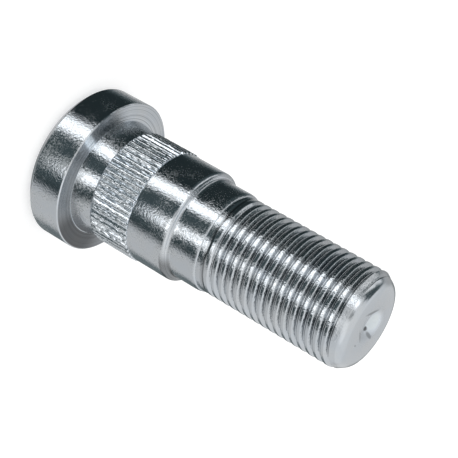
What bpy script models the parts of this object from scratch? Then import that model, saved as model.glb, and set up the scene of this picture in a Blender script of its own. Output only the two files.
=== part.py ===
"""A wheel stud: round head, serrated press-fit band, stepped shank and rolled thread.

The stud stands on its head. The origin is the middle of the head's back face, and +Z
runs along the axis to the threaded end. It is one steel piece, built as one skin of
rings round the axis, from the head's back face up to the centre mark in the far end.
"""

import math

import bmesh
import bpy

MM = 0.001

# Head
HEAD_DIAMETER = 25.4 * MM
HEAD_THICKNESS = 6.8 * MM
HEAD_BACK_CHAMFER = 1.25 * MM
HEAD_FRONT_ROUND = 0.3 * MM
NECK_FILLET = 0.5 * MM

# Neck and serrated band
NECK_DIAMETER = 18.0 * MM
NECK_LENGTH = 3.5 * MM
RIDGE_COUNT = 56
RIDGE_TIP_DIAMETER = 18.85 * MM
RIDGE_HEIGHT = 0.38 * MM
RIDGE_TIP_SHARE = 0.4
BAND_LENGTH = 7.4 * MM
RIDGE_LEAD_IN = 0.45 * MM
RIDGE_STOP = 0.12 * MM

# Shank and the step below the thread
SHANK_DIAMETER = 18.4 * MM
SHANK_LENGTH = 6.4 * MM
SHOULDER_ROUND = 0.75 * MM
SHOULDER_FILLET = 0.55 * MM
SHOULDER_SLOPE_DEGREES = 20
STEP_DIAMETER = 16.5 * MM
STEP_LENGTH = 5.1 * MM
STEP_ROUND_LENGTH = 0.9 * MM

# Thread, a 60 degree profile with broad rolled crests; shares are of the pitch
THREAD_DIAMETER = 15.875 * MM
THREAD_PITCH = 25.4 / 18 * MM
THREAD_LENGTH = 23.8 * MM
THREAD_RUN_OUT = 3.4 * MM
CREST_START = 11 / 56
CREST_SHARE = 22 / 56
ROOT_SHARE = 6 / 56
FLANK_ANGLE = math.radians(30)

# Threaded end
LEAD_CHAMFER_ANGLE = math.radians(32)
NOSE_LENGTH = 1.07 * MM
NOSE_ROUND = 1.8 * MM
CENTRE_MARK_DIAMETER = 5.0 * MM
CENTRE_MARK_DEPTH = 0.42 * MM

# Facets: one for each ridge, so that the serrated band and the turned parts share their edges
SEGMENTS = RIDGE_COUNT

# Plated steel
STEEL_COLOUR = (0.62, 0.64, 0.66, 1.0)
STEEL_ROUGHNESS = 0.22
STEEL_METALLIC = 1.0


def clear_scene():
    """Remove the objects that the file opened with."""
    for item in list(bpy.data.objects):
        bpy.data.objects.remove(item, do_unlink=True)


def arc(centre_radius, centre_z, radius, start, end, steps):
    """Points (distance from the axis, height) on an arc, from one angle to the other in degrees."""
    points = []
    for step in range(steps + 1):
        angle = math.radians(start + (end - start) * step / steps)
        points.append((centre_radius + radius * math.cos(angle), centre_z + radius * math.sin(angle)))
    return points


def head_profile():
    """The head's side: back chamfer, straight rim, softened front edge."""
    rim = HEAD_DIAMETER / 2
    front = arc(rim - HEAD_FRONT_ROUND, HEAD_THICKNESS - HEAD_FRONT_ROUND, HEAD_FRONT_ROUND, 0, 90, 2)
    return [(rim - HEAD_BACK_CHAMFER, 0.0), (rim, HEAD_BACK_CHAMFER)] + front


def neck_profile():
    """The fillet at the head and the plain neck above it."""
    neck = NECK_DIAMETER / 2
    fillet = arc(neck + NECK_FILLET, HEAD_THICKNESS + NECK_FILLET, NECK_FILLET, 270, 180, 3)
    return fillet + [(neck, HEAD_THICKNESS + NECK_LENGTH)]


def shank_profile(base):
    """The shank, then a rounded shoulder that runs into a fillet at the foot of the step."""
    shank = SHANK_DIAMETER / 2
    step = STEP_DIAMETER / 2
    shoulder = base + SHANK_LENGTH
    foot = shoulder + SHOULDER_ROUND
    slope = SHOULDER_SLOPE_DEGREES
    round_over = arc(shank - SHOULDER_ROUND, shoulder, SHOULDER_ROUND, 0, 90 - slope, 3)
    fillet = arc(step + SHOULDER_FILLET, foot + SHOULDER_FILLET, SHOULDER_FILLET, 270 - slope, 180, 3)
    return [(shank, base)] + round_over + fillet


def step_profile(thread_base):
    """The top of the step, rounded down over a long quarter ellipse towards the thread's crest."""
    crest = THREAD_DIAMETER / 2
    drop = STEP_DIAMETER / 2 - crest
    edge = thread_base - STEP_ROUND_LENGTH
    halfway = math.radians(45)
    bend = (crest + drop * math.cos(halfway), edge + STEP_ROUND_LENGTH * math.sin(halfway))
    return [(crest + drop, edge), bend]


def end_profile(base):
    """The chamfer runs on from the thread's root and rounds over into the end face.

    The round touches both the chamfer and the face. The centre mark is a shallow round dish,
    which halfway to its rim still has three quarters of its depth.
    """
    top = base + NOSE_LENGTH
    corner = THREAD_DIAMETER / 2 - thread_depth() - NOSE_LENGTH * math.tan(LEAD_CHAMFER_ANGLE)
    face = corner - NOSE_ROUND * math.tan((math.pi / 2 - LEAD_CHAMFER_ANGLE) / 2)
    nose = arc(face, top - NOSE_ROUND, NOSE_ROUND, math.degrees(LEAD_CHAMFER_ANGLE), 90, 2)
    rim = CENTRE_MARK_DIAMETER / 2
    dish = [(rim, top), (rim / 2, top - CENTRE_MARK_DEPTH * (1 - 0.5 ** 2))]
    return nose[1:] + dish


def add_ring(bm, radius, height, count=SEGMENTS):
    """One level ring of points round the axis."""
    turn = 2 * math.pi / count
    return [bm.verts.new((radius * math.cos(i * turn), radius * math.sin(i * turn), height))
            for i in range(count)]


def add_ridge_ring(bm, valley, tip, height):
    """A ring that steps out to a flat tip once on each ridge: valley, tip start, tip end."""
    flank = (1 - RIDGE_TIP_SHARE) / 2
    stations = ((0.0, valley), (flank, tip), (1 - flank, tip))
    ring = []
    for ridge in range(RIDGE_COUNT):
        for share, radius in stations:
            angle = 2 * math.pi * (ridge + share) / RIDGE_COUNT
            ring.append(bm.verts.new((radius * math.cos(angle), radius * math.sin(angle), height)))
    return ring


def join_rings(bm, lower, upper):
    """Faces between two rings; the finer ring may have a whole number of points for each coarse one."""
    fine_is_upper = len(upper) >= len(lower)
    coarse, fine = (lower, upper) if fine_is_upper else (upper, lower)
    ratio = len(fine) // len(coarse)
    faces = []
    for i, corner in enumerate(coarse):
        neighbour = coarse[(i + 1) % len(coarse)]
        run = [fine[(i * ratio + k) % len(fine)] for k in range(ratio + 1)]
        if ratio == 1:
            faces.append([corner, neighbour, run[1], run[0]])
            continue
        half = ratio // 2 + 1
        faces.extend([corner, run[k + 1], run[k]] for k in range(half))
        faces.append([corner, neighbour, run[half]])
        faces.extend([neighbour, run[k + 1], run[k]] for k in range(half, ratio))
    for face in faces:
        bm.faces.new(face if fine_is_upper else reversed(face))


def join_to_point(bm, ring, tip, faces_up):
    """A fan that closes a ring at a point on the axis."""
    for i, corner in enumerate(ring):
        neighbour = ring[(i + 1) % len(ring)]
        bm.faces.new((corner, neighbour, tip) if faces_up else (neighbour, corner, tip))


def add_turned(bm, ring, profile):
    """Carry the skin on through the rings of a turned profile, and return the last one."""
    for radius, height in profile:
        following = add_ring(bm, radius, height)
        join_rings(bm, ring, following)
        ring = following
    return ring


def add_serrated_band(bm, ring, base):
    """Straight ridges round the stud: they rise over a short lead-in and stop square."""
    tip = RIDGE_TIP_DIAMETER / 2
    valley = tip - RIDGE_HEIGHT
    top = base + BAND_LENGTH
    halfway = math.radians(45)
    shoulder = tip - RIDGE_HEIGHT * (1 - math.sin(halfway))
    levels = (
        (shoulder, base + RIDGE_LEAD_IN * (1 - math.cos(halfway))),
        (tip, base + RIDGE_LEAD_IN),
        (tip, top - RIDGE_STOP),
    )
    for high, height in levels:
        following = add_ridge_ring(bm, valley, high, height)
        join_rings(bm, ring, following)
        ring = following
    return ring


def thread_depth():
    """How far the root lies below the crest, from the flank's width and angle."""
    flank = THREAD_PITCH * (1 - CREST_SHARE - ROOT_SHARE) / 2
    return flank / math.tan(FLANK_ANGLE)


def thread_stations():
    """One turn of the thread's section, crest first: (share of the pitch, share of the depth)."""
    flank = (1 - CREST_SHARE - ROOT_SHARE) / 2
    crest_end = CREST_START + CREST_SHARE
    return (
        (CREST_START, 0.0),
        (crest_end, 0.0),
        (crest_end + flank, 1.0),
        (crest_end + flank + ROOT_SHARE, 1.0),
    )


def lead_length():
    """Height over which the lead chamfer falls from the thread's crest to its root."""
    return thread_depth() / math.tan(LEAD_CHAMFER_ANGLE)


def thread_point(column, turn, share, depth_share, base, top):
    """A point of the thread's skin, held between the levels where the thread starts and ends."""
    nearly = THREAD_PITCH / SEGMENTS / 4
    height = base + THREAD_PITCH * (turn + share - 2 + column / SEGMENTS)
    height = base if height < base + nearly else height
    height = top if height > top - nearly else height
    crest = THREAD_DIAMETER / 2
    root = crest - thread_depth()
    grown = min(1.0, (height - base) / THREAD_RUN_OUT)
    grown = grown * grown * (3 - 2 * grown)
    above_chamfer = height - (top - lead_length())
    chamfered = crest - above_chamfer * math.tan(LEAD_CHAMFER_ANGLE)
    radius = min(crest - thread_depth() * depth_share * grown, max(chamfered, root))
    angle = 2 * math.pi * column / SEGMENTS
    return radius * math.cos(angle), radius * math.sin(angle), height


def add_thread_column(bm, column, stations, base, top):
    """One facet edge of the thread, bottom to top; points that fall together are one point."""
    points = []
    last_place = None
    for turn, share, depth_share in stations:
        place = thread_point(column, turn, share, depth_share, base, top)
        points.append(points[-1] if place == last_place else bm.verts.new(place))
        last_place = place
    return points


def add_thread(bm, ring, base, top):
    """A right-hand thread: columns of helix points, cut off level at both ends.

    Each column stands a little higher on the helix than the one before it. The first column
    closes the round again one turn higher up. Points past an end lie on that end's level.
    """
    section = thread_stations()
    turns = math.ceil((top - base) / THREAD_PITCH) + 3
    stations = [(turn, share, depth_share) for turn in range(turns) for share, depth_share in section]
    columns = [add_thread_column(bm, column, stations, base, top) for column in range(SEGMENTS)]
    first = columns[0]
    first_a_turn_up = first[len(section):] + [first[-1]] * len(section)
    for left, right in zip(columns, columns[1:] + [first_a_turn_up]):
        for row in range(len(stations) - 1):
            corners = dict.fromkeys((left[row], right[row], right[row + 1], left[row + 1]))
            if len(corners) > 2:
                bm.faces.new(corners)
    join_rings(bm, ring, [column[0] for column in columns])
    return [column[-1] for column in columns]


def build_skin(bm):
    """The whole stud, from the middle of the head's back face to the centre mark."""
    band_base = HEAD_THICKNESS + NECK_LENGTH
    shank_base = band_base + BAND_LENGTH
    thread_base = shank_base + SHANK_LENGTH + STEP_LENGTH + STEP_ROUND_LENGTH
    thread_top = thread_base + THREAD_LENGTH + lead_length()

    back = head_profile()
    ring = add_ring(bm, *back[0])
    join_to_point(bm, ring, bm.verts.new((0.0, 0.0, 0.0)), faces_up=False)
    ring = add_turned(bm, ring, back[1:] + neck_profile())
    ring = add_serrated_band(bm, ring, band_base)
    ring = add_turned(bm, ring, shank_profile(shank_base) + step_profile(thread_base))
    ring = add_thread(bm, ring, thread_base, thread_top)
    ring = add_turned(bm, ring, end_profile(thread_top))
    mark_tip = thread_top + NOSE_LENGTH - CENTRE_MARK_DEPTH
    join_to_point(bm, ring, bm.verts.new((0.0, 0.0, mark_tip)), faces_up=True)


def plated_steel():
    """Bright zinc plate over steel."""
    material = bpy.data.materials.new("plated_steel")
    material.use_nodes = True
    shader = material.node_tree.nodes["Principled BSDF"]
    shader.inputs["Base Color"].default_value = STEEL_COLOUR
    shader.inputs["Roughness"].default_value = STEEL_ROUGHNESS
    shader.inputs["Metallic"].default_value = STEEL_METALLIC
    return material


def build_stud():
    """The stud as one object, smooth round the axis and crisp at its edges."""
    mesh = bpy.data.meshes.new("wheel_stud")
    bm = bmesh.new()
    build_skin(bm)
    bm.to_mesh(mesh)
    bm.free()
    mesh.materials.append(plated_steel())
    mesh.shade_smooth()
    mesh.set_sharp_from_angle(angle=math.radians(25))
    stud = bpy.data.objects.new("wheel_stud", mesh)
    bpy.context.scene.collection.objects.link(stud)
    return stud


def main():
    clear_scene()
    build_stud()


main()
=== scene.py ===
# %% [markdown]
# A wheel bolt is one piece of steel. Its head is forged, its faces are turned, the ridges that
# grip the hub and the thread are rolled between dies, and the whole is plated with bright zinc.
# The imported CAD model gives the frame: the size, the place and the main steps. It could be shown
# as it is, but its facets would show in a mirror finish. So a finer skin is drawn over it here,
# and gets its finish, the light it was photographed in and the photograph's camera.

# %% Load the frame and keep its box
import math

import bpy
import numpy as np
from mathutils import Matrix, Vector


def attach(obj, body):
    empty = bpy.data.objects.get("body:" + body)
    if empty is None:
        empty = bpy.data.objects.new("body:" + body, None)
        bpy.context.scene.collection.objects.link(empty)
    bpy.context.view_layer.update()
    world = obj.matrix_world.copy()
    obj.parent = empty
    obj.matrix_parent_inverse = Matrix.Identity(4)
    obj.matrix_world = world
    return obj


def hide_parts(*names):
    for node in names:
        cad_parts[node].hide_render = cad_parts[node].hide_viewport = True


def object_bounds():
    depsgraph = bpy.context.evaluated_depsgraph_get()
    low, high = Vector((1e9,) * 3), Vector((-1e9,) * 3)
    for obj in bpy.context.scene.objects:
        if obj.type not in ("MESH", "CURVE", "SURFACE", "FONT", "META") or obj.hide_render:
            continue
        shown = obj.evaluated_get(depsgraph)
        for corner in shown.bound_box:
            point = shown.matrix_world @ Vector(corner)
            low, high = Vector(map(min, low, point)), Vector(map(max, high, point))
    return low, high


MM = 0.001
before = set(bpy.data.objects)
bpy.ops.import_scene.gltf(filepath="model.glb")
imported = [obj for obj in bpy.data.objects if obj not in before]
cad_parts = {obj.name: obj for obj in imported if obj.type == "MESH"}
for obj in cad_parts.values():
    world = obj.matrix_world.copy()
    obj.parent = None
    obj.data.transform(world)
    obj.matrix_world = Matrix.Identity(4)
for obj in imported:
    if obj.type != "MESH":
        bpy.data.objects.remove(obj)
cad_low, cad_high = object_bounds()
HEAD_RADIUS = cad_high.x
TOTAL_LENGTH = cad_high.z
print("frame nodes:", sorted(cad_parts))
print("head radius and length in mm:", round(HEAD_RADIUS / MM, 3), round(TOTAL_LENGTH / MM, 3))

# %% [markdown]
# The bolt could be a stack of cylinders joined by Booleans, but its edges would then be bare
# corners. A turned part is better drawn as a profile: a list of corners, each with the radius of
# the tool or the wear that rounds it. An arc of radius r touches both sides of a corner at
# r times the tangent of half the turning angle from it.

# %% Rounded corners of a turned profile
ARC_STEPS = 5
STRAIGHT = 1e-4


def rounded(corners, steps=ARC_STEPS):
    """Profile points from corners (distance from the axis, height, rounding radius).

    At each corner the arc's centre lies on the corner's bisector, radius / cos(turn / 2) away,
    and the arc's points swing round that centre from one tangent point to the other.
    """
    points = [np.array(corners[0][:2])]
    for before, corner, after in zip(corners, corners[1:], corners[2:]):
        place, radius = np.array(corner[:2]), corner[2]
        back = np.array(before[:2]) - place
        ahead = np.array(after[:2]) - place
        back, ahead = back / np.linalg.norm(back), ahead / np.linalg.norm(ahead)
        turn = math.pi - math.acos(np.clip(back @ ahead, -1, 1))
        if radius == 0 or turn < STRAIGHT:
            points.append(place)
            continue
        bisector = (back + ahead) / np.linalg.norm(back + ahead)
        centre = place + bisector * radius / math.cos(turn / 2)
        start = place + back * radius * math.tan(turn / 2) - centre
        side = np.sign(start[0] * ahead[1] - start[1] * ahead[0])
        for angle in np.linspace(0, turn, steps + 1) * side:
            swung = (start[0] * math.cos(angle) - start[1] * math.sin(angle),
                     start[0] * math.sin(angle) + start[1] * math.cos(angle))
            points.append(centre + swung)
    points.append(np.array(corners[-1][:2]))
    return np.array(points)


square_corner = [(2.0, 0.0, 0.0), (2.0, 2.0, 1.0), (0.0, 2.0, 0.0)]
print("a rounded corner takes", len(rounded(square_corner)) - 2, "points")

# %% [markdown]
# The skin is kept as plain arrays of points and triangles. Each zone of the bolt adds a grid of
# points whose rows run round the axis. A zone could be an object of its own, but a mirror shows
# every gap between two, so all zones go into one mesh, and each only says which finish it takes.

# %% The skin's arrays
COLUMNS = 224
FINISHES = (
    "plated_barrel", "turned_face", "turned_shoulder",
    "rolled_serrations", "rolled_thread", "cropped_end",
)
skin_points = []
skin_triangles = []
skin_finishes = []


def add_points(points):
    """Store points given as an array with x, y, z last, and return their numbers in its shape."""
    flat = points.reshape(-1, 3)
    first = sum(len(block) for block in skin_points)
    skin_points.append(flat)
    return (first + np.arange(len(flat))).reshape(points.shape[:-1])


def add_triangles(triangles, finish):
    """Store triangles, leaving out those whose corners fall together."""
    a, b, c = triangles.T
    kept = triangles[(a != b) & (b != c) & (c != a)]
    skin_triangles.append(kept)
    skin_finishes.append(np.full(len(kept), FINISHES.index(finish)))


print("points round the axis:", COLUMNS, "finishes:", len(FINISHES))

# %% [markdown]
# Neighbouring zones are sewn together ring to ring, so the bolt stays one closed surface. The
# ridges need more points round the axis than the plain parts do. Merging close points could hide
# that step, but only roughly. Here each point of the coarser ring takes a fan of triangles to the
# finer ring's points instead, which leaves no gap.

# %% Rings and grids
def round_the_axis(radius, height, columns):
    """Points (radius cos t, radius sin t, height) for evenly spaced angles t, row by row."""
    turn = 2 * math.pi * np.arange(columns) / columns
    radius, height, turn = np.broadcast_arrays(radius, height, turn)
    return np.stack([radius * np.cos(turn), radius * np.sin(turn), height], axis=-1)


def sew_grid(numbers, finish, right=None):
    """Two triangles for each cell of a grid of points.

    right holds each point's neighbour sideways. Without it the grid closes on itself.
    """
    if right is None:
        right = np.roll(numbers, -1, axis=1)
    a, b, c, d = numbers[:-1], right[:-1], right[1:], numbers[1:]
    add_triangles(np.stack([a, b, c], -1).reshape(-1, 3), finish)
    add_triangles(np.stack([a, c, d], -1).reshape(-1, 3), finish)


def sew_rings(lower, upper, finish):
    """Join two rings, one of which may have a whole number of points for each of the other's."""
    coarse, fine = (lower, upper) if len(lower) <= len(upper) else (upper, lower)
    ratio = len(fine) // len(coarse)
    following = np.roll(coarse, -1)
    run = [np.roll(fine, -step)[::ratio] for step in range(ratio + 1)]
    fans = [np.stack([coarse, run[step + 1], run[step]], -1) for step in range(ratio)]
    fans.append(np.stack([coarse, following, run[ratio]], -1))
    triangles = np.concatenate(fans)
    add_triangles(triangles if coarse is lower else triangles[:, ::-1], finish)


def add_turned(profile, finish, below=None):
    """Turn a profile round the axis, sew it to the ring below, return its first and last ring."""
    numbers = add_points(round_the_axis(profile[:, :1], profile[:, 1:], COLUMNS))
    if below is not None:
        sew_rings(below, numbers[0], finish)
    sew_grid(numbers, finish)
    return numbers[0], numbers[-1]


def close_with_point(ring, height, finish, faces_up):
    """Close a ring with a fan to a point on the axis."""
    tip = add_points(np.array([[0.0, 0.0, height]]))[0]
    fan = np.stack([ring, np.roll(ring, -1), np.full(len(ring), tip)], -1)
    add_triangles(fan if faces_up else fan[:, ::-1], finish)


facet = 2 * math.pi * HEAD_RADIUS / COLUMNS
print("the head's facets are", round(facet / MM, 2), "mm wide")

# %% [markdown]
# The head is a thick round disc. Its back edge has a broad chamfer, and its front edge only a
# small round that shows as a thin bright line. The flat ring under it, the seat, pulls up against
# the hub, and a fillet joins it to the plain neck. A Bevel modifier could round these edges, but
# all by one rule, while a profile gives each its own radius. Each zone's profile starts a little
# way past the last one's end, so that their rings can be sewn.

# %% Head and neck
HEAD_THICKNESS = 6.8 * MM
HEAD_BACK_CHAMFER = 1.25 * MM
BACK_INNER_ROUND = 0.25 * MM
BACK_OUTER_ROUND = 0.35 * MM
HEAD_EDGE_ROUND = 0.15 * MM
NECK_RADIUS = 9.0 * MM
NECK_FILLET = 0.7 * MM
BAND_BASE = 10.3 * MM
NECK_LAST_ROW = 0.15 * MM

back_start = HEAD_RADIUS / 2
edge_end = HEAD_RADIUS - 1.1 * HEAD_EDGE_ROUND
seat_start = HEAD_RADIUS - 1.3 * HEAD_EDGE_ROUND
seat_end = NECK_RADIUS + 1.1 * NECK_FILLET
fillet_start = NECK_RADIUS + 1.05 * NECK_FILLET
back_corners = [
    (back_start, 0.0, 0.0),
    (HEAD_RADIUS - HEAD_BACK_CHAMFER, 0.0, BACK_INNER_ROUND),
    (HEAD_RADIUS, HEAD_BACK_CHAMFER, BACK_OUTER_ROUND),
    (HEAD_RADIUS, HEAD_THICKNESS, HEAD_EDGE_ROUND),
    (edge_end, HEAD_THICKNESS, 0.0),
]
seat_corners = [
    (seat_start, HEAD_THICKNESS, 0.0),
    ((HEAD_RADIUS + NECK_RADIUS) / 2, HEAD_THICKNESS, 0.0),
    (seat_end, HEAD_THICKNESS, 0.0),
]
neck_corners = [
    (fillet_start, HEAD_THICKNESS, 0.0),
    (NECK_RADIUS, HEAD_THICKNESS, NECK_FILLET),
    (NECK_RADIUS, BAND_BASE - NECK_LAST_ROW, 0.0),
    (NECK_RADIUS, BAND_BASE, 0.0),
]
back_ring, ring = add_turned(rounded(back_corners), "plated_barrel")
close_with_point(back_ring, 0.0, "plated_barrel", faces_up=False)
_, ring = add_turned(rounded(seat_corners), "turned_face", ring)
_, ring = add_turned(rounded(neck_corners), "plated_barrel", ring)
print("points up to the neck:", sum(len(block) for block in skin_points))

# %% [markdown]
# The serrated band is pressed into the hub and stops the bolt from turning. Rolling leaves its
# ridges straight but not perfect: each wanders a little and swells and thins along its length,
# which breaks its highlights into dashes. An Array of one ridge would repeat itself. So each
# ridge gets two sums of sines of its own: one shifts it sideways, the other takes off height.

# %% Unevenness of the ridges
RIDGE_COUNT = 56
POINTS_PER_RIDGE = 8
STRETCH_LEAST, STRETCH_MOST = 0.8, 1.25
RIDGE_SEED = 56
rng = np.random.default_rng(RIDGE_SEED)


def smooth_step(value):
    """0 below 0, 1 above 1, and 3t^2 - 2t^3 between."""
    t = np.clip(value, 0, 1)
    return t * t * (3 - 2 * t)


def quarter_round(share):
    """Rises from 0 to 1 along a quarter circle."""
    return np.sqrt(1 - (1 - np.clip(share, 0, 1)) ** 2)


def uneven(height, lengths):
    """For each ridge, a sum of sines along its length with its own phases, within about -1 to 1."""
    total = np.zeros((len(height), RIDGE_COUNT))
    for length in lengths:
        phase = rng.uniform(0, 2 * math.pi, RIDGE_COUNT)
        stretch = rng.uniform(STRETCH_LEAST, STRETCH_MOST, RIDGE_COUNT)
        total += np.sin(2 * math.pi * height[:, None] / (length * stretch) + phase)
    return np.repeat(total / len(lengths), POINTS_PER_RIDGE, axis=1)


print("ridges:", RIDGE_COUNT, "points across each:", POINTS_PER_RIDGE)

# %% [markdown]
# The band itself is a radius worked out over a grid of angles and heights: valley + height x
# ridge(u) x swell x rise(z). Here u runs from 0 to 1 across each ridge, and the ridge climbs over
# the flank's share of that on either side. Cutting 56 grooves with Booleans would give bare
# corners. The rows stand closer together at the lead-in and at the stop, where the rise curves.

# %% Serrated band
BAND_TOP = 17.7 * MM
RIDGE_TIP_RADIUS = 9.425 * MM
RIDGE_HEIGHT = 0.38 * MM
FLANK_SHARE = 0.36
LEAD_IN = 0.45 * MM
STOP = 0.12 * MM
WANDER = 0.035
WANDER_LENGTHS = (3.4 * MM, 1.5 * MM)
SWELL = 0.12
SWELL_LENGTHS = (2.6 * MM, 0.9 * MM)
LEAD_ROWS = np.array([0.02, 0.06, 0.12, 0.2, 0.3, 0.45]) * MM
FIRST_EVEN_ROW = 0.7 * MM
LAST_EVEN_ROW = 0.35 * MM
EVEN_ROWS = 27
STOP_ROWS = np.array([0.2, 0.12, 0.07, 0.03, 0.0]) * MM

band_height = np.concatenate([
    BAND_BASE + LEAD_ROWS,
    np.linspace(BAND_BASE + FIRST_EVEN_ROW, BAND_TOP - LAST_EVEN_ROW, EVEN_ROWS),
    BAND_TOP - STOP_ROWS,
])
band_columns = RIDGE_COUNT * POINTS_PER_RIDGE
across = (np.arange(band_columns) / POINTS_PER_RIDGE) % 1
shifted = across + WANDER * uneven(band_height, WANDER_LENGTHS)
ridge = smooth_step((0.5 - np.abs(shifted % 1 - 0.5)) / FLANK_SHARE)
swell = 1 - SWELL * (0.5 + 0.5 * uneven(band_height, SWELL_LENGTHS))
lead_in = quarter_round((band_height - BAND_BASE) / LEAD_IN)
stop = quarter_round((BAND_TOP - band_height) / STOP)
rise = (lead_in * stop)[:, None]
valley_radius = RIDGE_TIP_RADIUS - RIDGE_HEIGHT
band_radius = valley_radius + RIDGE_HEIGHT * ridge * swell * rise
band = add_points(round_the_axis(band_radius, band_height[:, None], band_columns))
sew_rings(ring, band[0], "rolled_serrations")
sew_grid(band, "rolled_serrations")
print("band rows:", len(band_height), "band points:", band.size)

# %% [markdown]
# Past the band the shank is plain, a little thinner than the ridges. A rounded, sloping shoulder
# and a fillet bring it down to the step below the thread, and the step's top rolls down over a
# long quarter ellipse to the thread's crest. All of it is turned, so it is profile again. The
# shoulder is a zone of its own, because its turning marks show and the shank's don't.

# %% Shank, shoulder and step
SEAM = 0.03 * MM
SHANK_RADIUS = 9.2 * MM
SHANK_EDGE_ROUND = 0.02 * MM
SHOULDER_BASE = 24.1 * MM
SHOULDER_ROUND = 0.75 * MM
SHOULDER_SLOPE = math.radians(20)
STEP_RADIUS = 8.25 * MM
STEP_FILLET = 0.55 * MM
STEP_TOP = 29.2 * MM
THREAD_BASE = 30.1 * MM
THREAD_RADIUS = 7.9375 * MM
ROLL_STEPS = 7

shoulder_corner = SHOULDER_BASE + SHOULDER_ROUND * math.tan((math.pi / 2 - SHOULDER_SLOPE) / 2)
step_foot = shoulder_corner + (SHANK_RADIUS - STEP_RADIUS) * math.tan(SHOULDER_SLOPE)
shank_corners = [
    (valley_radius, BAND_TOP + SEAM / 3, 0.0),
    (SHANK_RADIUS, BAND_TOP + SEAM, SHANK_EDGE_ROUND),
    (SHANK_RADIUS, SHOULDER_BASE - SEAM, 0.0),
]
shoulder_corners = [
    (SHANK_RADIUS, SHOULDER_BASE, 0.0),
    (SHANK_RADIUS, shoulder_corner, SHOULDER_ROUND),
    (STEP_RADIUS, step_foot, STEP_FILLET),
    (STEP_RADIUS, step_foot + STEP_FILLET, 0.0),
]
step_corners = [
    (STEP_RADIUS, step_foot + STEP_FILLET + SEAM, 0.0),
    (STEP_RADIUS, (step_foot + STEP_TOP) / 2, 0.0),
    (STEP_RADIUS, STEP_TOP, 0.0),
]
quarter = np.linspace(0, math.pi / 2, ROLL_STEPS + 1)[1:-1]
roll_down = np.stack([
    THREAD_RADIUS + (STEP_RADIUS - THREAD_RADIUS) * np.cos(quarter),
    STEP_TOP + (THREAD_BASE - STEP_TOP) * np.sin(quarter),
], axis=-1)
_, ring = add_turned(rounded(shank_corners), "plated_barrel", band[-1])
_, ring = add_turned(rounded(shoulder_corners), "turned_shoulder", ring)
_, ring = add_turned(rounded(step_corners), "plated_barrel", ring)
_, ring = add_turned(roll_down, "plated_barrel", ring)
print("the shoulder ends", round((step_foot - SHOULDER_BASE) / MM, 2), "mm above the shank")

# %% [markdown]
# The thread is rolled, so its crests and roots are rounded. One turn's section is a crest, a
# 30 degree flank, a root and a flank back. It could be swept along a helix as a curve, but the
# curve's ends would be hard to join to the blank. Here the section is only a list of heights and
# depths, which the next step lays round the axis. The widths at crest and root are shares of the
# pitch, in the CAD model's steps of 1/56.

# %% Section of one thread turn
THREAD_PITCH = 25.4 / 18 * MM
THREAD_END = 53.9 * MM
CREST_SHARE = 22 / 56
ROOT_SHARE = 6 / 56
CREST_ROUND = 0.22 * MM
CREST_STEPS = 2
FLANK_ANGLE = math.radians(30)
LEAD_CHAMFER_ANGLE = math.radians(32)

flank_rise = THREAD_PITCH * (1 - CREST_SHARE - ROOT_SHARE) / 2
thread_depth = flank_rise / math.tan(FLANK_ANGLE)
thread_top = THREAD_END + thread_depth / math.tan(LEAD_CHAMFER_ANGLE)


def thread_section():
    """One turn's (height, depth), from the middle of a crest to the middle of the next.

    The crest is a flat with rounded corners. The root's two corners are rounded so far that they
    meet: a corner's arc reaches radius x tan(30 degrees) along the flat from it.
    """
    crest_half = CREST_SHARE / 2
    root_half = ROOT_SHARE / 2
    root_round = root_half * THREAD_PITCH / math.tan(FLANK_ANGLE)
    corners = [
        (0.0, 0.0, 0.0),
        (0.0, crest_half / 2, 0.0),
        (0.0, crest_half, CREST_ROUND),
        (-thread_depth, 0.5 - root_half, root_round),
        (-thread_depth, 0.5 + root_half, root_round),
        (0.0, 1 - crest_half, CREST_ROUND),
        (0.0, 1 - crest_half / 2, 0.0),
        (0.0, 1.0, 0.0),
    ]
    scaled = [(inward, share * THREAD_PITCH, radius) for inward, share, radius in corners]
    section = rounded(scaled, steps=CREST_STEPS)
    return section[:-1, 1], -section[:-1, 0]


print("thread depth in mm:", round(thread_depth / MM, 3))
print("points up a turn:", len(thread_section()[0]))

# %% [markdown]
# The first turns grow out of the blank, and the last are cut down by the lead chamfer. A Boolean
# could cut both, at the cost of slivers. Instead the grid's rows follow the section up the helix:
# height = base + pitch x (turn + share of the section + column's share of the round). The depth
# fades in over the run-out, and the radius never passes the chamfer's cone. The first crest's
# middle stands where the CAD model has it, and two turns start below the base, to be held there.

# %% Rows of the thread
THREAD_RUN_OUT = 3.4 * MM
CREST_MIDDLE = 22 / 56
TURNS_BELOW = 2


def thread_grid():
    """Heights and radii of the thread: rows climb the section turn by turn, columns go round."""
    climb, depth = thread_section()
    turns = math.ceil((thread_top - THREAD_BASE) / THREAD_PITCH) + TURNS_BELOW
    rows = (np.arange(turns)[:, None] * THREAD_PITCH + climb).ravel()
    lift = THREAD_PITCH * (CREST_MIDDLE - TURNS_BELOW + np.arange(COLUMNS) / COLUMNS)
    height = np.clip(THREAD_BASE + rows[:, None] + lift, THREAD_BASE, thread_top)
    grown = smooth_step((height - THREAD_BASE) / THREAD_RUN_OUT)
    radius = THREAD_RADIUS - np.tile(depth, turns)[:, None] * grown
    chamfer = THREAD_RADIUS - (height - THREAD_END) * math.tan(LEAD_CHAMFER_ANGLE)
    return height, np.minimum(radius, chamfer), len(climb)


thread_height, thread_radius, section_rows = thread_grid()
turns = (thread_top - THREAD_BASE) / THREAD_PITCH
print("thread turns:", round(turns, 1), "rows:", len(thread_height))

# %% [markdown]
# Two things set the thread's grid apart from the others. Rows that would pass either end stand on
# that end's level, where their points fall together: they take one number, and the triangles
# between them vanish. And after one round the helix has climbed one pitch, so the last column is
# sewn to the first one a pitch higher. A merge by distance would do both, but less surely.

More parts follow.
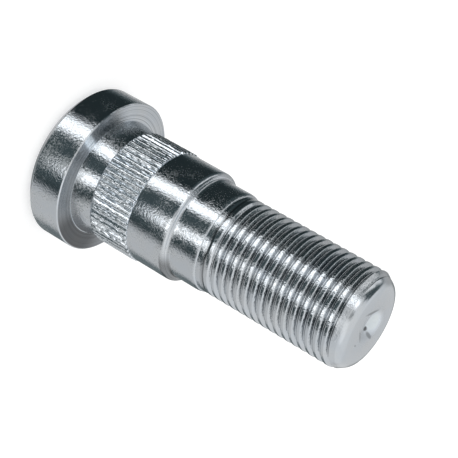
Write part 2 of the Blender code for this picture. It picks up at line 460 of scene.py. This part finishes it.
# %% Sew the thread
def hold_at_ends(numbers, height):
    """Rows past an end of the thread take the numbers of the one row kept on that end's level."""
    low_row = (height <= THREAD_BASE).sum(axis=0) - 1
    high_row = (height < thread_top).sum(axis=0)
    rows = np.arange(len(height))[:, None]
    return numbers[np.clip(rows, low_row, high_row), np.arange(COLUMNS)]


def one_turn_up(numbers, section_rows):
    """Each point's neighbour sideways: the last column meets the first, one pitch higher."""
    rows = np.arange(len(numbers))
    higher = np.minimum(rows + section_rows, rows[-1])
    return np.concatenate([numbers[:, 1:], numbers[higher, :1]], axis=1)


thread = add_points(round_the_axis(thread_radius, thread_height, COLUMNS))
thread = hold_at_ends(thread, thread_height)
sew_grid(thread, "rolled_thread", one_turn_up(thread, section_rows))
sew_rings(ring, thread[0], "plated_barrel")
print("thread points:", len(np.unique(thread)))

# %% [markdown]
# The end was cropped and centred before the thread was rolled. A bowed nose runs in to the small
# flat face, and the centre mark in it is a shallow bowl. A Boolean with a ball could sink the
# mark, but the profile simply runs on down into it: depth x (1 - share squared) at each share of
# the mark's radius, which is a parabola.

# %% Nose, end face and centre mark
NOSE_ROUND = 1.8 * MM
NOSE_SEAM_IN = 0.01 * MM
NOSE_SEAM_UP = 0.016 * MM
MARK_RADIUS = 2.5 * MM
MARK_DEPTH = 0.42 * MM
FACE_ROWS = np.array([1.3, 1.05])
BOWL_ROWS = np.array([0.94, 0.85, 0.7, 0.55, 0.4, 0.25, 0.1])

root_radius = THREAD_RADIUS - thread_depth
nose_corner = root_radius - (TOTAL_LENGTH - thread_top) * math.tan(LEAD_CHAMFER_ANGLE)
bowl_height = TOTAL_LENGTH - MARK_DEPTH * (1 - BOWL_ROWS ** 2)
end_corners = [
    (root_radius - NOSE_SEAM_IN, thread_top + NOSE_SEAM_UP, 0.0),
    (nose_corner, TOTAL_LENGTH, NOSE_ROUND),
    *((MARK_RADIUS * share, TOTAL_LENGTH, 0.0) for share in FACE_ROWS),
    *((MARK_RADIUS * share, height, 0.0) for share, height in zip(BOWL_ROWS, bowl_height)),
]
_, ring = add_turned(rounded(end_corners), "cropped_end", thread[-1])
close_with_point(ring, TOTAL_LENGTH - MARK_DEPTH, "cropped_end", faces_up=True)
print("points in all:", sum(len(block) for block in skin_points))

# %% [markdown]
# The arrays go into one mesh with foreach_set, which takes them whole and needs no loop over
# points. Unused points, where the thread's rows were held on its end levels, are dropped first.
# The skin is shaded smooth, and only edges that turn by more than 38 degrees stay sharp.

# %% Make the mesh
SHARP_ANGLE = math.radians(38)

points = np.concatenate(skin_points)
triangles = np.concatenate(skin_triangles)
finishes = np.concatenate(skin_finishes)
used, triangles = np.unique(triangles, return_inverse=True)
triangles = triangles.reshape(-1, 3)
points = points[used]

mesh = bpy.data.meshes.new("wheel_bolt")
mesh.vertices.add(len(points))
mesh.vertices.foreach_set("co", points.ravel())
mesh.loops.add(triangles.size)
mesh.loops.foreach_set("vertex_index", triangles.ravel())
mesh.polygons.add(len(triangles))
mesh.polygons.foreach_set("loop_start", np.arange(0, triangles.size, 3))
mesh.polygons.foreach_set("material_index", finishes)
mesh.update(calc_edges=True)
mesh.validate()
mesh.shade_smooth()
mesh.set_sharp_from_angle(angle=SHARP_ANGLE)
scene = bpy.context.scene
bolt = bpy.data.objects.new("wheel_bolt", mesh)
scene.collection.objects.link(bolt)
print("triangles:", len(mesh.polygons))

# %% [markdown]
# The finishes are built from nodes in a script, so a few helpers come first. Nodes could be placed
# one by one with their own lines, but most are of three kinds: a sum, a mix of two values, and an
# S-shaped rise from 0 to 1. Each gets a helper that takes numbers and sockets alike.

# %% Node helpers
def feed(tree, socket, source):
    """Set an input to a number or colour, or link another node's output to it."""
    if isinstance(source, (int, float, tuple)):
        socket.default_value = source
    else:
        tree.links.new(source, socket)


def add_node(tree, kind, settings=None, **sources):
    """A node of that kind with its settings, and its inputs fed by name."""
    node = tree.nodes.new(kind)
    for name, value in (settings or {}).items():
        setattr(node, name, value)
    for name, source in sources.items():
        feed(tree, node.inputs[name.replace("_", " ")], source)
    return node


def math_node(tree, operation, *sources):
    """The output of a Math node whose inputs are sockets or numbers."""
    node = add_node(tree, "ShaderNodeMath", {"operation": operation})
    for socket, source in zip(node.inputs, sources):
        feed(tree, socket, source)
    return node.outputs[0]


def s_curve(tree, value, start, end):
    """0 up to start and 1 from end on, with an S-shaped rise between; end may be below start."""
    node = add_node(tree, "ShaderNodeMapRange", {"interpolation_type": "SMOOTHSTEP"},
                    Value=value, From_Min=start, From_Max=end)
    return node.outputs["Result"]


def mix_node(tree, kind, factor, first, second):
    """The first value or colour where the factor is 0, the second where it is 1."""
    node = add_node(tree, "ShaderNodeMix", {"data_type": kind}, Factor=factor, A=first, B=second)
    return node.outputs["Result"]


print("node helpers are ready, in Blender", bpy.app.version_string)

# %% [markdown]
# An effect that several finishes share goes into a node group with named inputs and outputs. Its
# nodes could be copied into each material, but then a change would have to be made in each. The
# group gives out only values that change over the surface, and the shader stays in the material.

# %% Node groups
def new_group(name, inputs, outputs):
    """An empty shader node group with inputs (name, default) and outputs (name, type)."""
    group = bpy.data.node_groups.new(name, "ShaderNodeTree")
    for label, default in inputs:
        kind = "NodeSocketVector" if isinstance(default, tuple) else "NodeSocketFloat"
        socket = group.interface.new_socket(label, in_out="INPUT", socket_type=kind)
        socket.default_value = default
    for label, kind in outputs:
        group.interface.new_socket(label, in_out="OUTPUT", socket_type=kind)
    return group, group.nodes.new("NodeGroupInput"), group.nodes.new("NodeGroupOutput")


def place_group(tree, group, **sources):
    """A shared group placed in a material, with its inputs fed by name."""
    return add_node(tree, "ShaderNodeGroup", {"node_tree": group}, **sources)


print("node groups so far:", len(bpy.data.node_groups))

# %% [markdown]
# The finish is bright zinc plate, and it isn't an even mirror. The plate pools into bumps about a
# third of a millimetre across, with a finer grain on them, so the edges of every reflection break
# up. Its height could be painted, but noise read at Object coordinates has no seam and keeps its
# size on every part. The Noise texture's scale counts its bumps in each metre.

# %% Mottle of the plate
GRAINS_PER_METRE = 6500.0
GRAIN_SHARE = 0.5


def make_mottle_group():
    """Height of the plate: pools' noise + grain's noise x its share."""
    group, entry, leave = new_group(
        "plate_mottle",
        [("Pools per Metre", 3000.0), ("Grains per Metre", GRAINS_PER_METRE),
         ("Grain Share", GRAIN_SHARE)],
        [("Height", "NodeSocketFloat")],
    )
    place = group.nodes.new("ShaderNodeTexCoord").outputs["Object"]
    pools = add_node(group, "ShaderNodeTexNoise", Vector=place, Detail=2.0, Roughness=0.5,
                     Scale=entry.outputs["Pools per Metre"])
    grain = add_node(group, "ShaderNodeTexNoise", Vector=place, Detail=2.0, Roughness=0.6,
                     Scale=entry.outputs["Grains per Metre"])
    fine = math_node(group, "MULTIPLY", grain.outputs["Fac"], entry.outputs["Grain Share"])
    feed(group, leave.inputs["Height"], math_node(group, "ADD", pools.outputs["Fac"], fine))
    return group


mottle_group = make_mottle_group()
print("mottle group:", len(mottle_group.nodes), "nodes")

# %% [markdown]
# The plate's colour drifts a little between blue and grey, in patches a few millimetres across,
# and in some patches small specks are duller than the rest. One even grey would look like
# plastic, and specks everywhere like salt, so the specks are multiplied by the patches.

# %% Tint and specks of the plate
COOL_ZINC = (0.69, 0.74, 0.79, 1.0)
GREY_ZINC = (0.72, 0.755, 0.785, 1.0)
PATCHES_PER_METRE = 260.0
PATCH_EDGE = (0.35, 0.65)
SPECKS_PER_METRE = 3000.0
SPECK_EDGE = (0.4, 0.6)


def noise_mask(group, place, scale, edge):
    """Noise cut to 0 below the edge's first level and 1 above its second."""
    noise = add_node(group, "ShaderNodeTexNoise", Vector=place, Detail=3.0, Roughness=0.6,
                     Scale=scale)
    return s_curve(group, noise.outputs["Fac"], *edge)


def make_tint_group():
    """Colour drifting between two greys in patches, and roughness that jumps in small specks."""
    group, entry, leave = new_group(
        "plate_tint",
        [("Patches per Metre", PATCHES_PER_METRE), ("Specks per Metre", SPECKS_PER_METRE),
         ("Smooth", 0.11), ("Dull", 0.36), ("Brightness", 1.0)],
        [("Color", "NodeSocketColor"), ("Roughness", "NodeSocketFloat")],
    )
    place = group.nodes.new("ShaderNodeTexCoord").outputs["Object"]
    patches = noise_mask(group, place, entry.outputs["Patches per Metre"], PATCH_EDGE)
    specks = noise_mask(group, place, entry.outputs["Specks per Metre"], SPECK_EDGE)
    drift = mix_node(group, "RGBA", patches, COOL_ZINC, GREY_ZINC)
    bright = add_node(group, "ShaderNodeVectorMath", {"operation": "SCALE"},
                      Scale=entry.outputs["Brightness"])
    feed(group, bright.inputs[0], drift)
    feed(group, leave.inputs["Color"], bright.outputs["Vector"])
    speckled = math_node(group, "MULTIPLY", specks, patches)
    rough = mix_node(group, "FLOAT", speckled, entry.outputs["Smooth"], entry.outputs["Dull"])
    feed(group, leave.inputs["Roughness"], rough)
    return group


tint_group = make_tint_group()
print("tint group:", len(tint_group.nodes), "nodes")

# %% [markdown]
# A lathe leaves fine rings on the seat under the head and, more faintly, on the shoulder. They
# could be modelled as grooves, but they are far finer than the mesh. Noise in one dimension, read
# along the distance from the axis only, draws rings of uneven strength as a tool does.

# %% Lathe rings
RINGS_PER_METRE = 5200.0


def axis_distance(tree):
    """The length of the Object coordinates once their z is set to 0."""
    place = tree.nodes.new("ShaderNodeTexCoord").outputs["Object"]
    flat = add_node(tree, "ShaderNodeVectorMath", {"operation": "MULTIPLY"})
    feed(tree, flat.inputs[0], place)
    feed(tree, flat.inputs[1], (1.0, 1.0, 0.0))
    length = add_node(tree, "ShaderNodeVectorMath", {"operation": "LENGTH"})
    feed(tree, length.inputs[0], flat.outputs["Vector"])
    return length.outputs["Value"]


def make_rings_group():
    """The distance from the axis, and noise that depends only on that distance."""
    group, entry, leave = new_group(
        "lathe_rings",
        [("Rings per Metre", RINGS_PER_METRE)],
        [("Distance", "NodeSocketFloat"), ("Marks", "NodeSocketFloat")],
    )
    distance = axis_distance(group)
    marks = add_node(group, "ShaderNodeTexNoise", {"noise_dimensions": "1D"},
                     W=distance, Scale=entry.outputs["Rings per Metre"], Detail=3.0)
    feed(group, leave.inputs["Distance"], distance)
    feed(group, leave.inputs["Marks"], marks.outputs["Fac"])
    return group


rings_group = make_rings_group()
print("rings are about", round(1 / RINGS_PER_METRE / MM, 2), "mm apart")

# %% [markdown]
# On a turned face the rings show twice: they roughen the reflections, and each catches more or
# less light than its neighbours. The face may also lean a little, as a seat does that falls away
# outwards. A bump that sinks evenly with the distance from the axis turns the reflections just as
# a cone would, and the flat face of the CAD model stays flat.

# %% Rings on a turned face
RING_CONTRAST = 1.3


def turned_marks(tree, relief, bright, share, slope):
    """Rings on the relief and brightness of a turned face.

    They are relief + marks x share - distance x slope, and
    bright x (1 + (marks - 0.5) x contrast).
    """
    lathe = place_group(tree, rings_group)
    marks = lathe.outputs["Marks"]
    relief = math_node(tree, "ADD", relief, math_node(tree, "MULTIPLY", marks, share))
    fall = math_node(tree, "MULTIPLY", lathe.outputs["Distance"], slope)
    contrast = math_node(tree, "MULTIPLY", math_node(tree, "SUBTRACT", marks, 0.5), RING_CONTRAST)
    bright = math_node(tree, "MULTIPLY", math_node(tree, "ADD", contrast, 1.0), bright)
    return math_node(tree, "SUBTRACT", relief, fall), bright


print("rings darken and lighten a face by up to", round(RING_CONTRAST / 2, 2))

# %% [markdown]
# Soft ovals, lighter or darker than the plate, hold the painted light and painted shade of the
# centre mark, the seat and the shoulder, and a few plain marks. A painted picture could hold
# them, but a handful of ovals does as well and needs no picture. A Mapping node moves, turns and
# scales the Object coordinates, so that each oval becomes a ball of radius 1 round the origin.

# %% Soft ovals of painted light and shade
SPOT_SOFTNESS = 0.4


def make_spot_group():
    """1 inside a soft oval and 0 outside: the length of the mapped place, cut round 1."""
    group, entry, leave = new_group(
        "soft_spot",
        [("Place", (0.0, 0.0, 0.0)), ("Turn", (0.0, 0.0, 0.0)), ("Half Size", (1.0, 1.0, 1.0)),
         ("Softness", SPOT_SOFTNESS)],
        [("Mask", "NodeSocketFloat")],
    )
    place = group.nodes.new("ShaderNodeTexCoord").outputs["Object"]
    laid = add_node(group, "ShaderNodeMapping", {"vector_type": "TEXTURE"}, Vector=place,
                    Location=entry.outputs["Place"], Rotation=entry.outputs["Turn"],
                    Scale=entry.outputs["Half Size"])
    away = add_node(group, "ShaderNodeVectorMath", {"operation": "LENGTH"})
    feed(group, away.inputs[0], laid.outputs["Vector"])
    outer = math_node(group, "ADD", 1.0, entry.outputs["Softness"])
    inner = math_node(group, "SUBTRACT", 1.0, entry.outputs["Softness"])
    feed(group, leave.inputs["Mask"], s_curve(group, away.outputs["Value"], outer, inner))
    return group


spot_group = make_spot_group()
print("spot group:", len(spot_group.nodes), "nodes")

# %% [markdown]
# An oval is set on a face by its place, turn and half size. Its height reaches a little above and
# below the face, so that the face's own small slopes don't leave it. Every mark takes the finish's
# brightness so far and gives it back changed, so a finish can stack as many as it needs.

# %% An oval's place and strength
SPOT_HALF_HEIGHT = 2.0 * MM


def spot_mask(tree, x, y, half_x, half_y, turn, height):
    """The mask of one oval, given in millimetres and degrees, on the face at that height."""
    spot = place_group(
        tree, spot_group,
        Place=(x * MM, y * MM, height),
        Turn=(0.0, 0.0, math.radians(turn)),
        Half_Size=(half_x * MM, half_y * MM, SPOT_HALF_HEIGHT),
    )
    return spot.outputs["Mask"]


def dimmed(tree, bright, mask, share):
    """bright x (1 - mask x share), where a share below 0 brightens instead."""
    kept = math_node(tree, "SUBTRACT", 1.0, math_node(tree, "MULTIPLY", mask, share))
    return math_node(tree, "MULTIPLY", kept, bright)


# Each oval holds painted light or shade, or a plain mark.
print("a stain reaches", round(SPOT_HALF_HEIGHT / MM, 1), "mm above and below its face")

# %% [markdown]
# In the thread, the roots and the flanks that face the head are darkened in the colour: this is
# painted shade, where the grooves shade themselves. It could be painted from a picture, or found
# by rays that look for corners, but the shape already says where it is: a little way in from the
# crests, and not where the normal points up.

# %% Painted shade in the thread's grooves
GROOVE_SHADE_UPWARD, GROOVE_SHADE_LEVEL = 0.7, 0.0
GROOVE_SHADE_OUTER, GROOVE_SHADE_INNER = 0.01 * MM, 0.09 * MM


def painted_groove_shade(tree):
    """1 in the roots and under the flanks that face the head, 0 on the crests and upper flanks."""
    normal = tree.nodes.new("ShaderNodeTexCoord").outputs["Normal"]
    facing = add_node(tree, "ShaderNodeSeparateXYZ", Vector=normal)
    down = s_curve(tree, facing.outputs["Z"], GROOVE_SHADE_UPWARD, GROOVE_SHADE_LEVEL)
    depth = math_node(tree, "SUBTRACT", THREAD_RADIUS, axis_distance(tree))
    return math_node(tree, "MULTIPLY", down, s_curve(tree, depth, GROOVE_SHADE_OUTER, GROOVE_SHADE_INNER))


# The painted shade in the grooves is full this far below the crests.
print("dirt is full", round(GROOVE_SHADE_INNER / MM, 2), "mm below the thread's crests")

# %% [markdown]
# A finish is a Principled shader of bare metal. The tint group gives its colour and roughness and
# the mottle group the height of a Bump node, and the marks are laid over both. One material for
# the whole bolt would be simpler, but each way of working the steel leaves its own gloss, so one
# function makes them all from a few values.

# %% How a finish is made
def make_finish(name, depth, pools, smooth, dull, bright=1.0, rings=0.0, lean=0.0, groove_shade=0.0,
                spots=(), spot_height=0.0):
    """Zinc plate with its own bump depth in metres, pools per metre and roughness range.

    bright scales the colour; on the seat it is painted shade. rings is the lathe marks' share of
    the bump, and lean the angle in degrees by which the turned face seems to fall away outwards.
    groove_shade paints shade into the thread's grooves by that share. Each of spots changes an oval
    at the height spot_height.
    """
    material = bpy.data.materials.new(name)
    material.use_nodes = True
    tree = material.node_tree
    relief = place_group(tree, mottle_group, Pools_per_Metre=pools).outputs["Height"]
    if rings:
        slope = math.tan(math.radians(lean)) / depth
        relief, bright = turned_marks(tree, relief, bright, rings, slope)
    if groove_shade:
        bright = dimmed(tree, bright, painted_groove_shade(tree), groove_shade)
    for *oval, brighter, duller in spots:
        mask = spot_mask(tree, *oval, spot_height)
        bright = dimmed(tree, bright, mask, 1.0 - brighter)
        if duller:
            more = math_node(tree, "MULTIPLY", mask, duller)
            smooth = math_node(tree, "ADD", more, smooth)
            dull = math_node(tree, "ADD", more, dull)
    tint = place_group(tree, tint_group, Smooth=smooth, Dull=dull, Brightness=bright)
    bump = add_node(tree, "ShaderNodeBump", Strength=1.0, Distance=depth, Height=relief)
    shader = tree.nodes["Principled BSDF"]
    shader.inputs["Metallic"].default_value = 1.0
    feed(tree, shader.inputs["Base Color"], tint.outputs["Color"])
    feed(tree, shader.inputs["Roughness"], tint.outputs["Roughness"])
    feed(tree, shader.inputs["Normal"], bump.outputs["Normal"])
    return material


print("finishes to make:", ", ".join(FINISHES))

# %% [markdown]
# The cropped end is smooth, with a few darker streaks, and its centre mark is dull, with painted
# light and painted shade on its bowl. The seat under the head is darkened as painted shade, with
# strong rings, and seems to lean outwards by a few degrees; a painted highlight crosses it, and
# one side has painted light, the other deeper painted shade. The shoulder has a patch of painted
# shade. The rolled ridges are brighter and more even than the barrel, and the thread is glossy
# with painted shade in its grooves. The ovals stand where the photograph shows them. They could
# be drawn at random, but each is seen.

# %% The bolt's finishes
# An oval is x, y, half width and half length in mm, turn in degrees, times as bright, duller by.
END_MARKS_AND_PAINTED_LIGHT = (
    (0.0, 0.0, 5.4, 5.4, 0.0, 0.93, 0.0),
    (-0.1, 0.0, 2.8, 2.8, 0.0, 1.0, 0.35),
    # A lighter oval paints light on one wall of the centre mark's bowl.
    (-0.67, 0.46, 1.75, 2.6, 0.0, 1.4, 0.0),
    # A small dark oval paints the shadow in the bowl's pit.
    (0.66, -0.81, 0.34, 0.95, 0.0, 0.15, 0.0),
    (1.27, 1.45, 0.3, 1.1, -11.9, 0.55, 0.0),
    (1.96, -1.9, 0.18, 1.3, -30.5, 0.65, 0.0),
    # A thin dark streak paints shade along the bowl's rim.
    (-1.85, -2.15, 0.22, 1.8, 25.3, 0.55, 0.0),
    (3.47, -1.70, 0.15, 0.4, 0.0, 0.7, 0.0),
)
SEAT_PAINTED_LIGHT_AND_SHADE = (
    # A painted highlight: the reflection of the shank's bright strip, laid across the seat.
    (-2.85, -10.63, 0.8, 2.8, -15.0, 2.5, 0.0),
    # Painted light on one side of the seat.
    (-10.9, 0.0, 3.5, 9.0, 0.0, 1.8, 0.0),
    # Deeper painted shade on the other side of the seat.
    (10.7, -1.2, 3.2, 6.0, 0.0, 0.42, 0.0),
)
SHOULDER_PAINTED_SHADE = (
    # Painted shade on one side of the shoulder.
    (8.2, -1.75, 3.0, 6.0, 12.0, 0.4, 0.0),
)
barrel = dict(depth=0.026 * MM, pools=3000.0, smooth=0.11, dull=0.36)
finish_values = {
    "plated_barrel": barrel,
    # The seat's colour is brought down to 0.47: painted shade under the head.
    "turned_face": dict(depth=0.03 * MM, pools=2600.0, smooth=0.12, dull=0.2, bright=0.47,
                        rings=1.0, lean=5.0, spots=SEAT_PAINTED_LIGHT_AND_SHADE, spot_height=HEAD_THICKNESS),
    "turned_shoulder": dict(barrel, rings=0.4, spots=SHOULDER_PAINTED_SHADE, spot_height=SHOULDER_BASE),
    "rolled_serrations": dict(depth=0.016 * MM, pools=2600.0, smooth=0.2, dull=0.34, bright=1.26),
    # groove_shade paints shade into the thread's roots and under its lower flanks.
    "rolled_thread": dict(depth=0.033 * MM, pools=2600.0, smooth=0.1, dull=0.28, groove_shade=0.6),
    "cropped_end": dict(depth=0.008 * MM, pools=1200.0, smooth=0.16, dull=0.24,
                        spots=END_MARKS_AND_PAINTED_LIGHT, spot_height=TOTAL_LENGTH),
}
for finish in FINISHES:
    mesh.materials.append(make_finish(finish, **finish_values[finish]))
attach(bolt, "root")
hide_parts("wheel_stud")
print("materials on the bolt:", len(mesh.materials))

# %% [markdown]
# The bolt stands on a plain pale sheet, which keeps its soft shadow. A very bright lamp could
# turn the sheet white, but would burn out the bolt as well. So Light Path gives the sheet a
# little light of its own for the camera alone. The bolt's mirror-like sides look down past it:
# what they show is set by the studio, in the next step, so glossy rays don't see the sheet.

# %% Floor
FLOOR_HALF = 1.5
FLOOR_GREY = (0.6, 0.6, 0.6, 1.0)
FLOOR_ROUGHNESS = 0.9
FLOOR_GLOW = 0.55


def make_floor():
    """A square sheet at the level of the head's back face."""
    corners = FLOOR_HALF * np.array([[-1, -1, 0], [1, -1, 0], [1, 1, 0], [-1, 1, 0]])
    sheet = bpy.data.meshes.new("floor")
    sheet.from_pydata(corners.tolist(), [], [(0, 1, 2, 3)])
    floor = bpy.data.objects.new("floor", sheet)
    scene.collection.objects.link(floor)
    floor.visible_glossy = False
    return floor


def make_floor_material():
    """Matt card with emission x Is Camera Ray."""
    material = bpy.data.materials.new("pale_card")
    material.use_nodes = True
    tree = material.node_tree
    card = tree.nodes["Principled BSDF"]
    card.inputs["Base Color"].default_value = FLOOR_GREY
    card.inputs["Roughness"].default_value = FLOOR_ROUGHNESS
    card.inputs["Specular IOR Level"].default_value = 0.0
    card.inputs["Emission Color"].default_value = (1.0, 1.0, 1.0, 1.0)
    camera_ray = tree.nodes.new("ShaderNodeLightPath").outputs["Is Camera Ray"]
    glow = math_node(tree, "MULTIPLY", camera_ray, FLOOR_GLOW)
    feed(tree, card.inputs["Emission Strength"], glow)
    return material


floor = make_floor()
floor.data.materials.append(make_floor_material())
print("floor is", 2 * FLOOR_HALF, "m across")

# %% [markdown]
# A polished bolt shows little of its own colour and mostly what stands round it. The photograph's
# bolt shows two narrow soft boxes near the camera with a dark room between them, pale tables
# beside and behind, and a bright wall and ceiling. Real lamps could stand there, but the bolt's
# upright sides look downwards, through the floor. So the studio is a list of patches given by
# direction. Bearings count from the camera, and grow towards the left of someone who stands at it.

# %% The studio's patches
DARK_ROOM = 0.03
STUDIO = (
    # patch, bearing, half width, middle height, half height, softness (degrees), level
    ("dark room in front", -12.0, 42.0, -20.0, 55.0, 8.0, 0.08),
    ("pale table behind", 168.0, 17.0, -60.0, 50.0, 21.0, 0.62),
    ("pale table on the right", -98.7, 33.2, -45.0, 70.0, 5.0, 0.56),
    ("gap between the tables", -150.0, 14.0, -55.0, 40.0, 6.0, 0.19),
    ("wall behind", -155.0, 90.0, 50.0, 46.0, 8.0, 0.66),
    ("ceiling", 0.0, 200.0, 90.0, 50.0, 8.0, 0.75),
    ("high lamp", -35.0, 55.0, 50.0, 14.0, 8.0, 0.9),
    ("its glow on the wall", -28.0, 34.0, 20.0, 10.0, 4.0, 0.5),
    ("wall on the right", -115.0, 28.0, 20.0, 20.0, 8.0, 0.73),
    ("low wall on the right", -155.0, 12.0, 2.0, 12.0, 6.0, 0.7),
    ("dark door on the left", 96.0, 38.0, 15.0, 31.0, 6.0, 0.07),
    ("grey corner on the left", 146.0, 14.0, 8.0, 18.0, 8.0, 0.42),
    ("grey shelf on the left", 92.0, 34.0, 22.0, 10.0, 5.0, 0.32),
    ("long strip on the left", 80.0, 24.0, 31.0, 6.5, 4.0, 0.9),
    ("short strip on the left", 112.0, 13.0, 19.0, 6.0, 4.0, 0.8),
    ("dark beam on the left", 104.0, 36.0, 51.0, 13.0, 4.0, 0.08),
    ("left soft box", 35.3, 10.6, -20.0, 75.0, 3.5, 1.7),
    ("right soft box", -24.0, 9.4, 1.8, 33.4, 3.0, 1.7),
    ("shade over the camera", 1.0, 15.0, 56.0, 11.0, 4.0, 0.3),
)
print("studio patches:", len(STUDIO))

# %% [markdown]
# A photograph of a studio could be wrapped round the scene, but a world made of nodes needs no
# picture and can be changed patch by patch. Each patch is a window in bearing times a window in
# height, and covers the ones before it, softly at its edges.

# %% The level of the studio in a direction
def soft_window(tree, value, middle, half, softness):
    """1 within half of the middle, 0 beyond, with an S-shaped edge."""
    away = math_node(tree, "ABSOLUTE", math_node(tree, "SUBTRACT", value, middle))
    return s_curve(tree, away, half + softness, max(half - softness, 0.0))


def bearing_from(tree, bearing, middle):
    """The bearing counted from another one and wrapped to between -180 and 180 degrees."""
    return math_node(tree, "WRAP", math_node(tree, "SUBTRACT", bearing, middle), 180.0, -180.0)


def studio_level(tree, direction):
    """The level of the studio's patches in a direction.

    The bearing is the arc tangent of left over near, and the height the arc sine of z.
    """
    parts = add_node(tree, "ShaderNodeSeparateXYZ", Vector=direction)
    left = math_node(tree, "MULTIPLY", parts.outputs["X"], -1.0)
    near = math_node(tree, "MULTIPLY", parts.outputs["Y"], -1.0)
    bearing = math_node(tree, "DEGREES", math_node(tree, "ARCTAN2", left, near))
    height = math_node(tree, "DEGREES", math_node(tree, "ARCSINE", parts.outputs["Z"]))
    level = DARK_ROOM
    for _, middle, half, middle_height, half_height, softness, strength in STUDIO:
        wide = soft_window(tree, bearing_from(tree, bearing, middle), 0.0, half, softness)
        tall = soft_window(tree, height, middle_height, half_height, softness)
        level = mix_node(tree, "FLOAT", math_node(tree, "MULTIPLY", wide, tall), level, strength)
    return level


levels = [patch[-1] for patch in STUDIO]
print("studio levels run from", min(levels), "to", max(levels))

# %% [markdown]
# Lamps would light the bolt and show in it alike. Here the two are apart: only glossy rays see
# the studio, and the light on everything else is a plain white dome, so the bolt's own colours
# stay as they are written. The view transform is Standard, which keeps them so in the picture.

# %% World
DARK_TINT = (0.62, 0.93, 1.0, 1.0)
TINT_FADE = 3.0
WHITE = (1.0, 1.0, 1.0, 1.0)


def make_world():
    """White for the camera and for soft light, and the studio for glossy rays.

    The darker a patch is, the more it takes the dark's cool tint. The world isn't sampled as a
    lamp, because only a ray that leaves the surface knows whether it is glossy.
    """
    world = bpy.data.worlds.new("studio")
    world.use_nodes = True
    tree = world.node_tree
    level = studio_level(tree, tree.nodes.new("ShaderNodeTexCoord").outputs["Generated"])
    glossy = tree.nodes.new("ShaderNodeLightPath").outputs["Is Glossy Ray"]
    strength = mix_node(tree, "FLOAT", glossy, 1.0, level)
    fade = math_node(tree, "MULTIPLY", strength, TINT_FADE)
    background = tree.nodes["Background"]
    feed(tree, background.inputs["Strength"], strength)
    feed(tree, background.inputs["Color"], mix_node(tree, "RGBA", fade, DARK_TINT, WHITE))
    world.cycles.sampling_method = "NONE"
    return world


scene.world = make_world()
scene.view_settings.view_transform = "Standard"
print("world nodes:", len(scene.world.node_tree.nodes))

# %% [markdown]
# The photograph was taken along a line 25.7 degrees above the floor, with a long lens, and with
# the camera rolled so that the bolt lies across the picture from the upper left to the lower
# right. A constraint could aim the camera at the bolt, but not roll it. So the camera's frame is
# built from its place and two angles: forward comes from the pitch, and right is the level right
# turned by the roll.

# %% Camera
CAMERA_PLACE = np.array([-2.019, -194.113, 122.245]) * MM
CAMERA_PITCH = math.radians(25.692)
CAMERA_ROLL = math.radians(119.805)
CAMERA_LENS = 112.47
CAMERA_CLIP = 0.01

forward = np.array([0.0, math.cos(CAMERA_PITCH), -math.sin(CAMERA_PITCH)])
level_right = np.array([1.0, 0.0, 0.0])
level_up = np.cross(level_right, forward)
camera_right = level_right * math.cos(CAMERA_ROLL) + level_up * math.sin(CAMERA_ROLL)
camera_up = np.cross(camera_right, forward)
turned = np.eye(4)
turned[:3, :] = np.stack([camera_right, camera_up, -forward, CAMERA_PLACE], axis=1)

camera_data = bpy.data.cameras.new("camera")
camera_data.lens = CAMERA_LENS
camera_data.clip_start = CAMERA_CLIP
camera = bpy.data.objects.new("camera", camera_data)
scene.collection.objects.link(camera)
camera.matrix_world = Matrix(turned.tolist())
bpy.context.scene.camera = camera
print("camera is", round(float(np.linalg.norm(CAMERA_PLACE)) / MM), "mm from the head")
